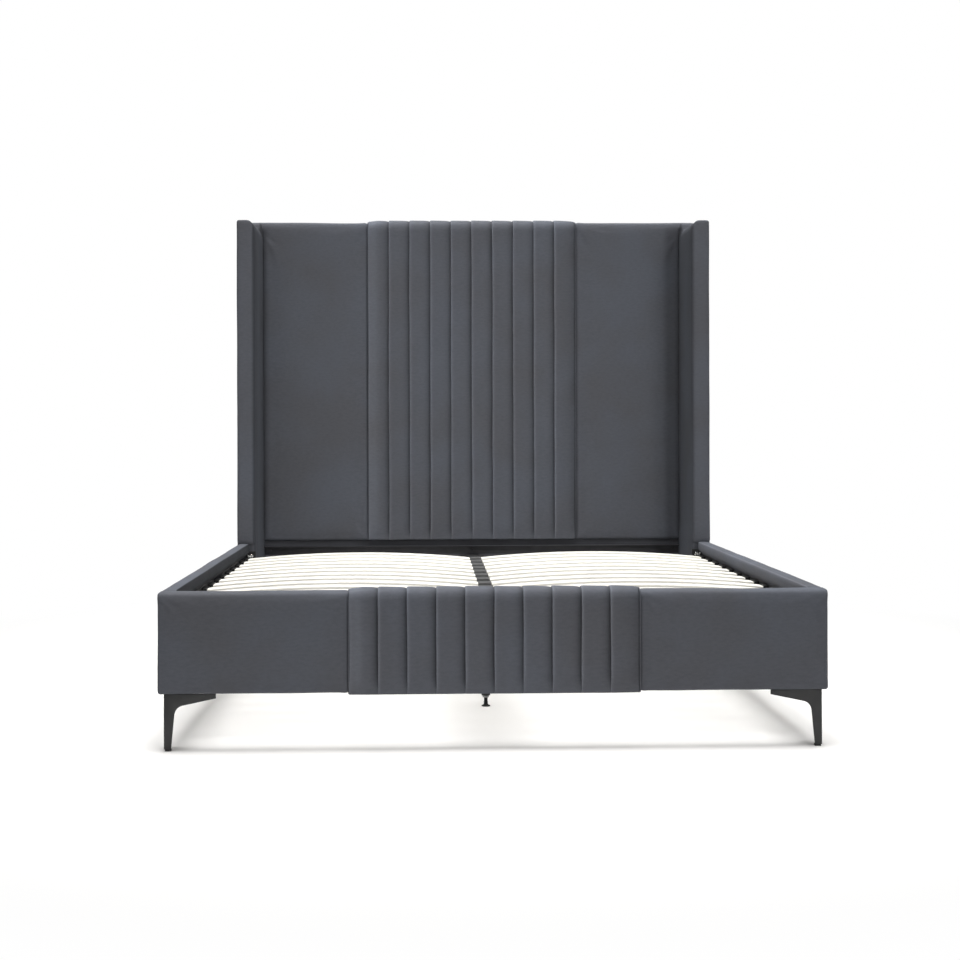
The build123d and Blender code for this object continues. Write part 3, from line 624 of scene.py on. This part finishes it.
wing_rear = block(
    (wing_low.x + SLACK, wing_high.x - SLACK), (wing_rear_y, wing_high.y - SLACK),
    (wing_low.z - SLACK, wing_high.z + 3 * MM),
)
wing_body = rounded_prism(wing_outline, (wing_low.y + BORDER_DEPTH, wing_high.y - SLACK), 6 * MM, 4 * MM)
wing_top = block(
    (wing_low.x + SLACK, wing_high.x - SLACK), (wing_rear_y, head_low.y + 5 * MM),
    (wing_high.z - 60 * MM, head_high.z - 4 * MM), front_top=20 * MM, right_top=8 * MM,
)
post_block = block(
    (post_low.x, post_high.x - SLACK), (post_low.y + SLACK, wing_high.y - SLACK),
    (post_low.z + SLACK, wing_low.z + 20 * MM), right_under=4 * MM, front_under=4 * MM,
)
wing_mesh = padded(
    "wing", joined(wing_body, wing_rear, wing_top, post_block),
    lambda co: co.y > wing_high.y - 8 * MM, voxel=7.5 * MM, swell=3.5 * MM,
)
for side, mesh, seed in (("right", wing_mesh, 13), ("left", mirrored(wing_mesh, "wing_left"), 12)):
    nodes = (f"wing_cover_{side}", f"post_cover_{side}")
    add_cover(mesh, f"wing_and_post_cover_{side}", "velvet", seed, *nodes)

# The border sewn round the front of each wing, rounded off above the rail
BORDER_DROP = 4 * MM
border_outline = [(a, b - (BORDER_DROP if b < wing_low.z + SLACK else 0)) for a, b in wing_outline]
border_run = (wing_low.y + SLACK, wing_low.y + BORDER_DEPTH)
border_mesh = padded(
    "wing_border", rounded_prism(border_outline, border_run, 8 * MM, 6 * MM),
    lambda co: co.y > wing_low.y + BORDER_DEPTH - 3 * MM, voxel=4 * MM, swell=3 * MM,
)
both_sides(border_mesh, "wing_border", "velvet", seed=17, stands_for_nodes=False)


# Back cloth of the headboard, lapped over the edges of the covers beside and above it
back_low, back_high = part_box("headboard_back_cover")
CLOTH_LAP = 9 * MM
back_cloth = block(
    (back_low.x - CLOTH_LAP, back_high.x + CLOTH_LAP), (back_low.y + 0.2 * MM, back_high.y + 0.3 * MM),
    (back_low.z, back_high.z + CLOTH_LAP),
    left_back=0.8 * MM, back_right=0.8 * MM, back_top=0.8 * MM, back_under=0.8 * MM,
)
back_mesh = smooth(to_mesh(back_cloth, "back_cloth"))
as_piece(back_mesh, "headboard_back_cover_made", "dark_cloth", "headboard_back_cover")


# Knife pleats: the outline of each fold in millimetres over the pad, FALL's first column in pitches
PLEAT_COUNT = 10
FIRST_LIP = [(0.0, 0.3), (0.6, 0.9), (3.0, 1.8), (9.0, 3.2), (20.0, 5.0)]
LIP = [(-0.8, 2.2), (-1.2, 5.0), (0.2, 7.4), (3.2, 8.4), (12.0, 8.3)]
FALL = [(0.42, 7.5), (0.7, 7.0), (0.87, 5.6), (0.955, 3.0)]
TUCK = [(0.8, 0.6), (5.0, 0.2), (5.6, 0.9), (2.2, 1.3)]
LAST_FALL = [(0.42, 7.2), (0.7, 5.6), (0.87, 3.6), (0.97, 1.6), (1.0, 0.5)]


def pleat_outline(pitch, pad):
    """Outline of the pleated cloth in millimetres, each fold lapping over the tail beside it."""
    start = -PLEAT_COUNT * pitch / 2
    points = [(start, 0)]
    for pleat in range(PLEAT_COUNT):
        fold = start + pleat * pitch
        following = fold + pitch
        last = pleat == PLEAT_COUNT - 1
        points += [(fold + a, pad + b) for a, b in (LIP if pleat else FIRST_LIP)]
        points += [(fold + a * pitch, pad + b) for a, b in (LAST_FALL if last else FALL)]
        if not last:
            points += [(following + a, pad + b) for a, b in TUCK]
    points.append((-start, 0))
    return points


TOP_RELIEF = 0.6
PRESSED = 3  # millimetres over the pad, which the folds are pressed down to


def station(y, z, lean, relief=1.0, height=1.0):
    """Where the outline stands on its path, facing up at a lean of 0 and the foot end at 90.

    Relief under 1 presses its folds down, and height under 1 lowers all of it.
    """
    outward = Vector((0, -math.sin(math.radians(lean)), math.cos(math.radians(lean))))
    along = Vector((1, 0, 0)).cross(outward)
    place = Matrix((Vector((1, 0, 0)), outward * height, along)).transposed().to_4x4()
    place.translation = Vector((0, y, z))
    return place, relief


def pressed(y, z, lean):
    """A station whose folds lie flatter the more it faces up."""
    return station(y, z, lean, TOP_RELIEF + (1 - TOP_RELIEF) * max(0, lean) / 90)


def hem(y, bottom):
    """The last stations of a pleated cover, where its folds are sewn flat and turned under."""
    flat = [(44, 1.0), (35, 0.9), (27, 0.7), (19, 0.48), (12, 0.33), (6, 0.26), (1.6, 0.24)]
    turned = [(0.4, 0.9), (0, 0.72)]
    stations = [station(y, bottom + up * MM, 90, relief) for up, relief in flat]
    return stations + [station(y, bottom + up * MM, 90, flat[-1][1], height) for up, height in turned]


def swept(outline, pad, stations):
    """The outline drawn through its stations, closed at both ends."""
    def ring(place, relief):
        heights = [b if b < pad else pad + PRESSED + (b - pad - PRESSED) * relief for _, b in outline]
        return [place @ Vector((a * MM, height * MM, 0)) for (a, _), height in zip(outline, heights)]

    shape = bmesh.new()
    corners = ring(*stations[0])
    face = shape.faces.new([shape.verts.new(corner) for corner in corners])
    bmesh.ops.recalc_face_normals(shape, faces=[face])
    for number, following in enumerate(stations[1:]):
        grown = bmesh.ops.extrude_face_region(shape, geom=[face])["geom"]
        if number:
            bmesh.ops.delete(shape, geom=[face], context="FACES_ONLY")
        face = next(item for item in grown if isinstance(item, bmesh.types.BMFace))
        next_corners = dict(zip([tuple(corner) for corner in corners], ring(*following)))
        for vertex in face.verts:
            vertex.co = next_corners[tuple(vertex.co)]
        corners = list(next_corners.values())
    bmesh.ops.recalc_face_normals(shape, faces=shape.faces)
    return shape


def evenly(first, last, count):
    """Evenly spread values from the first to the last."""
    return [first + (last - first) * step / (count - 1) for step in range(count)]


LIP_REACH = 8  # millimetres that a fold's lip may stand before its own pitch
SIDE_WAVER = 1.3 * MM
DEPTH_WAVER = 0.7 * MM


def pleated(name, pad, stations, pitch, seed):
    """A pleated cover whose folds waver a little along their length."""
    mesh = to_mesh(swept(pleat_outline(pitch, pad), pad, stations), name)
    start = -PLEAT_COUNT * pitch / 2
    for vertex in mesh.vertices:
        co = vertex.co
        fold = math.floor((co.x * 1000 - start + LIP_REACH) / pitch)
        run = Vector((fold * 1.7 + seed, co.z * 5.5, co.y * 5.5))
        co.x += noise.noise(run) * SIDE_WAVER
        co.y += noise.noise(run * 1.6 + Vector((4, 2, 0))) * DEPTH_WAVER
    piece = bpy.data.objects.new(name, mesh)
    scene.collection.objects.link(piece)
    made = refined_once(piece)
    uneven(made, 0.09, 0.5 * MM, seed)
    made.shade_smooth()
    return made


def bend(y, z, radius, leans):
    """Stations round an edge with a radius about a centre, facing up at a lean of 0."""
    turns = [(lean, math.radians(lean)) for lean in leans]
    return [
        pressed(y - radius * math.sin(turn), z + radius * math.cos(turn), lean) for lean, turn in turns
    ]


foot_pleats_low, foot_pleats_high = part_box("footboard_pleats")
head_pleats_low, head_pleats_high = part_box("headboard_pleats")
foot_pitch = (foot_pleats_high.x - foot_pleats_low.x) * 1000 / PLEAT_COUNT
head_pitch = (head_pleats_high.x - head_pleats_low.x) * 1000 / PLEAT_COUNT
FOOT_PAD = 15
HEAD_PAD = round((ply_low.y - head_low.y) * 1000)
BEND = 8 * MM
front_y = foot_board_low.y - 0.3 * MM
back_y = foot_board_high.y + 0.3 * MM
top_z = foot_board_high.z + 0.3 * MM
foot_stations = [pressed(back_y, lip_bottom + up * MM, -90) for up in (0.5, 1.3, 5)]
foot_stations += [pressed(back_y, z, -90) for z in evenly(lip_bottom + 12 * MM, top_z - BEND, 2)]
foot_stations += bend(back_y - BEND, top_z - BEND, BEND, (-72, -54, -36, -18, 0))
foot_stations += [pressed(front_y + BEND, top_z, 0)]
foot_stations += bend(front_y + BEND, top_z - BEND, BEND, (18, 36, 54, 72, 90))
foot_bottom = foot_pleats_low.z
foot_run = evenly(top_z - BEND - 9 * MM, foot_bottom + 53 * MM, 18)
foot_stations += [station(front_y, z, 90) for z in foot_run]
foot_stations += hem(front_y, foot_bottom)
foot_pleats = pleated("footboard_pleats_made", FOOT_PAD, foot_stations, foot_pitch, 3)
as_piece(foot_pleats, "footboard_pleats_made", "pleat_velvet", "footboard_pleats")

HEAD_BEND = 3.3 * MM
head_y = ply_low.y - 0.3 * MM
head_z = ply_high.z + 0.3 * MM
head_stations = [pressed(head_back - in_by * MM, head_z, 0) for in_by in (0.5, 1.3, 4)]
head_stations += [pressed(y, head_z, 0) for y in evenly(head_back - 11 * MM, head_y + HEAD_BEND, 4)]
head_stations += bend(head_y + HEAD_BEND, head_z - HEAD_BEND, HEAD_BEND, (15, 30, 45, 60, 75, 90))
head_bottom = head_pleats_low.z
head_run = evenly(head_z - 16 * MM, head_bottom + 54 * MM, 86)
head_stations += [station(head_y, z, 90) for z in head_run]
head_stations += hem(head_y, head_bottom)
head_pleats = pleated("headboard_pleats_made", HEAD_PAD, head_stations, head_pitch, 8)
as_piece(head_pleats, "headboard_pleats_made", "pleat_velvet", "headboard_pleats")


# Piping in the seams beside the pleats
PIPING_RADIUS = 1.7 * MM


def add_piping(name, x, path):
    """A thin corded seam through some Y and Z on the right, and its mirror image on the left."""
    curve = bpy.data.curves.new(name, "CURVE")
    curve.dimensions = "3D"
    curve.bevel_depth = PIPING_RADIUS
    curve.bevel_resolution = 3
    curve.use_fill_caps = True
    spline = curve.splines.new("NURBS")
    spline.points.add(len(path) - 1)
    for point, place in zip(spline.points, path):
        point.co = (x, *place, 1)
    spline.order_u = 3
    spline.use_endpoint_u = True
    spline.resolution_u = 6
    cord = bpy.data.objects.new(name, curve)
    scene.collection.objects.link(cord)
    bpy.context.view_layer.update()
    mesh = evaluated(cord)
    bpy.data.objects.remove(cord)
    for side, copy in (("right", mesh), ("left", mirrored(mesh, name + "_left"))):
        copy.shade_smooth()
        as_piece(copy, f"{name}_{side}", "velvet")


foot_face = foot_low.y
add_piping("footboard_piping", (foot_low.x + foot_pleats_high.x) / 2, [
    (foot_face + 4 * MM, base + 0.5 * MM), (foot_face - 1 * MM, base + 4 * MM),
    (foot_face - 1.5 * MM, base + 120 * MM), (foot_face - 0.5 * MM, rail_top - 24 * MM),
    (foot_face + 2 * MM, rail_top - 3 * MM), (foot_face + 26 * MM, rail_top - 0.5 * MM),
    (foot_high.y - 24 * MM, rail_top - 0.5 * MM), (foot_high.y - 3 * MM, rail_top - 4 * MM),
    (foot_high.y - 2 * MM, lip_bottom + 2 * MM),
])
head_face = head_low.y
add_piping("headboard_piping", (head_low.x + head_pleats_high.x) / 2, [
    (head_face + 8 * MM, head_low.z + 1 * MM), (head_face, head_low.z + 6 * MM),
    (head_face - 1 * MM, head_low.z + 300 * MM), (head_face - 1 * MM, head_high.z - 300 * MM),
    (head_face + 1 * MM, head_high.z - 28 * MM), (head_face + 4 * MM, head_high.z - 5 * MM),
    (head_face + 28 * MM, head_high.z - 2 * MM), (head_back - 16 * MM, head_high.z - 2 * MM),
    (head_back - 4 * MM, head_high.z - 5 * MM), (head_back - 3 * MM, head_high.z - 16 * MM),
])


# Sprung slats
SLAT_CUTS = 28
SLAT_THICKNESS = 8 * MM
SLAT_EDGE = 2 * MM
SLAT_INNER_END = 3.8 * MM
ROWS = range(1, 13)
slat_low, slat_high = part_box("slat_row_01")
slat_ends = (SLAT_INNER_END, slat_high.x)
crown_rise = slat_high.z - slat_low.z - SLAT_THICKNESS


def make_slat_row(row):
    """Two bowed slats of one row, with rounded edges."""
    name = f"slat_row_{row:02d}"
    low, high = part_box(name)
    shape = block(slat_ends, (low.y, high.y), (low.z, low.z + SLAT_THICKNESS))
    for cut in evenly(*slat_ends, SLAT_CUTS)[1:-1]:
        whole = shape.verts[:] + shape.edges[:] + shape.faces[:]
        bmesh.ops.bisect_plane(shape, geom=whole, plane_co=(cut, 0, 0), plane_no=(1, 0, 0))
    middle_y = (low.y + high.y) / 2
    half_depth = (high.y - low.y) / 2
    long_edges = [
        edge for edge in shape.edges
        if all(abs(abs(v.co.y - middle_y) - half_depth) < HAIR for v in edge.verts) and runs_along(edge, 0)
    ]
    bevelled(shape, long_edges, SLAT_EDGE, segments=3)
    middle = sum(slat_ends) / 2
    half = (slat_ends[1] - slat_ends[0]) / 2
    for vertex in shape.verts:
        vertex.co.z += crown_rise * (1 - ((vertex.co.x - middle) / half) ** 2)
    right = to_mesh(shape, "right_slat")
    pair = bmesh.new()
    pair.from_mesh(right)
    pair.from_mesh(mirrored(right, "left_slat"))
    as_piece(smooth(to_mesh(pair, name), 50), name + "_made", "white_slat", name)


for row in ROWS:
    make_slat_row(row)


# Slat holders: a cradle under each slat with a raised end cap
HOLDER_WIDTH = 67 * MM
CRADLE_TOP = 6.4 * MM
CAP_DEPTH = 14 * MM
CENTRE_CAP = 19.5 * MM


def make_holders(node, cap_x, finish):
    """A row of holders along a side or the centre, one for each row of slats."""
    low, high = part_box(node)
    shapes = []
    for row in ROWS:
        slat_front, slat_back = (corner.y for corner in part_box(f"slat_row_{row:02d}"))
        middle = (slat_front + slat_back) / 2
        run = (middle - HOLDER_WIDTH / 2, middle + HOLDER_WIDTH / 2)
        shapes.append(block(
            (low.x, high.x), run, (low.z, low.z + CRADLE_TOP), front_top=1 * MM, back_top=1 * MM,
        ))
        shapes.append(block(
            cap_x, (run[0] + 1 * MM, run[1] - 1 * MM), (low.z + CRADLE_TOP, high.z),
            front_top=2 * MM, back_top=2 * MM, left_top=1.5 * MM, right_top=1.5 * MM,
        ))
    as_piece(smooth(to_mesh(joined(*shapes), node + "_made")), node + "_made", finish, node)


outer_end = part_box("slat_holders_right")[1].x
make_holders("slat_holders_right", (outer_end - CAP_DEPTH, outer_end), "black_plastic")
make_holders("slat_holders_left", (-outer_end, CAP_DEPTH - outer_end), "black_plastic")
make_holders("slat_holders_centre", (-CENTRE_CAP, CENTRE_CAP), "grey_plastic")


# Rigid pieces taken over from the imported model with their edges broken
def refined(node, edge):
    """A copy of a CAD node with merged faces and softly broken edges."""
    shape = bmesh.new()
    shape.from_mesh(frame["nodes"][node].data)
    bmesh.ops.remove_doubles(shape, verts=shape.verts, dist=0.005 * MM)
    bmesh.ops.dissolve_limit(shape, angle_limit=math.radians(1), verts=shape.verts, edges=shape.edges)
    sharp = [
        e for e in shape.edges
        if len(e.link_faces) == 2 and e.calc_face_angle(0) > math.radians(40)
    ]
    bevelled(shape, sharp, edge, segments=2, clamp_overlap=True)
    return as_piece(smooth(to_mesh(shape, node + "_made"), 40), node + "_made", finish_of(node), node)


BROKEN_EDGES = {
    "leg_front_left": 0.7, "leg_front_right": 0.7, "leg_rear_left": 0.7, "leg_rear_right": 0.7,
    "head_brackets": 0.4, "foot_brackets": 0.4, "beam_brackets": 0.4, "head_rail": 0.5,
    "bracket_bolts": 0.35, "leg_glides": 0.5, "lock_nuts": 0.5,
    "centre_foot_front": 0.4, "centre_foot_rear": 0.4,
}
rigid_pieces = {node: refined(node, edge * MM) for node, edge in BROKEN_EDGES.items()}

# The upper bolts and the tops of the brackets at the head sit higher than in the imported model
HEAD_LIFT = 8 * MM
LIFTED_ABOVE = 0.31
for node in ("bracket_bolts", "head_brackets"):
    for vertex in rigid_pieces[node].data.vertices:
        if vertex.co.y > 0 and vertex.co.z > LIFTED_ABOVE:
            vertex.co.z += HEAD_LIFT


def midway(values):
    """The middle between the least and the greatest value."""
    values = list(values)
    return (min(values) + max(values)) / 2


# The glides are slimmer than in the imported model, each about its own middle
GLIDE_SHARE = 0.8
glide_corners = [vertex.co for vertex in frame["nodes"]["leg_glides"].data.vertices]
glide_side = midway(co.x for co in glide_corners if co.x > 0)
glide_rear = midway(co.y for co in glide_corners if co.y > 0)
glide_front = midway(co.y for co in glide_corners if co.y < 0)
for vertex in rigid_pieces["leg_glides"].data.vertices:
    middle = (math.copysign(glide_side, vertex.co.x), glide_rear if vertex.co.y > 0 else glide_front)
    for axis in (0, 1):
        vertex.co[axis] = middle[axis] + (vertex.co[axis] - middle[axis]) * GLIDE_SHARE

for node, piece in frame["nodes"].items():
    if not piece.hide_render:
        piece.data.materials.clear()
        piece.data.materials.append(FINISHES[finish_of(node)])


# Floor and light
FADE_START = 1.3
FADE_END = 2.9
AMBIENT = 0.16


def seen_directly(tree):
    """1 for rays from the camera, also through clear things, and 0 for the rest."""
    rays = add_node(tree, "ShaderNodeLightPath").outputs
    inputs = {0: rays["Is Camera Ray"], 1: rays["Is Transmission Ray"]}
    return add_node(tree, "ShaderNodeMath", inputs, operation="MAXIMUM").outputs[0]


def make_floor():
    """Pale floor that fades to white far from the bed."""
    shape = bmesh.new()
    bmesh.ops.create_circle(shape, cap_ends=True, segments=64, radius=60)
    floor = bpy.data.objects.new("floor", to_mesh(shape, "floor"))
    scene.collection.objects.link(floor)
    material = bpy.data.materials.new("floor")
    material.use_nodes = True
    tree = material.node_tree
    tree.nodes.clear()
    output = add_node(tree, "ShaderNodeOutputMaterial")
    pale = add_node(tree, "ShaderNodeBsdfDiffuse", {"Color": (0.78, 0.77, 0.755, 1)}).outputs[0]
    white = add_node(tree, "ShaderNodeEmission", {"Color": (*WHITE, 1), "Strength": 1.0}).outputs[0]
    place = add_node(tree, "ShaderNodeTexCoord").outputs["Object"]
    distance = add_node(tree, "ShaderNodeVectorMath", {0: place}, operation="LENGTH").outputs["Value"]
    fade = ramp(tree, distance, FADE_START, FADE_END, 0.0, 1.0)
    share = times(tree, fade, seen_directly(tree))
    mix = add_node(tree, "ShaderNodeMixShader", {0: share, 1: pale, 2: white})
    tree.links.new(mix.outputs[0], output.inputs["Surface"])
    floor.data.materials.append(material)


def make_world():
    """A white backdrop that lights the bed only faintly."""
    world = bpy.data.worlds.new("studio")
    scene.world = world
    world.use_nodes = True
    tree = world.node_tree
    tree.nodes.clear()
    limits = {"Value": seen_directly(tree), "To Min": AMBIENT, "To Max": 1.0}
    strength = add_node(tree, "ShaderNodeMapRange", limits).outputs[0]
    backdrop = add_node(tree, "ShaderNodeBackground", {"Color": (*WHITE, 1), "Strength": strength})
    output = add_node(tree, "ShaderNodeOutputWorld")
    tree.links.new(backdrop.outputs[0], output.inputs["Surface"])


def softbox(name, place, aim, width, height, power, beam=180):
    """A rectangular studio light at a place, facing an aim."""
    light = bpy.data.lights.new(name, "AREA")
    light.shape = "RECTANGLE"
    light.size = width
    light.size_y = height
    light.energy = power
    light.spread = math.radians(beam)
    lamp = bpy.data.objects.new(name, light)
    lamp.location = place
    lamp.rotation_euler = (Vector(aim) - Vector(place)).to_track_quat("-Z", "Y").to_euler()
    scene.collection.objects.link(lamp)


make_floor()
make_world()
softbox("left", (-3.6, -20, 7.6), (0, 0.2, 0.7), 5.0, 4.2, 150)
softbox("right", (6.0, -16.6, 5.6), (0.2, 0.4, 0.8), 3.4, 2.8, 740)
softbox("top", (0, 0.3, 4.4), (0, 0.3, 0), 3.6, 5.6, 132, beam=60)
softbox("headboard", (0, -2.4, 3.2), (0, 1, 1.0), 2.2, 0.8, 13, beam=70)
scene.view_settings.view_transform = "Standard"
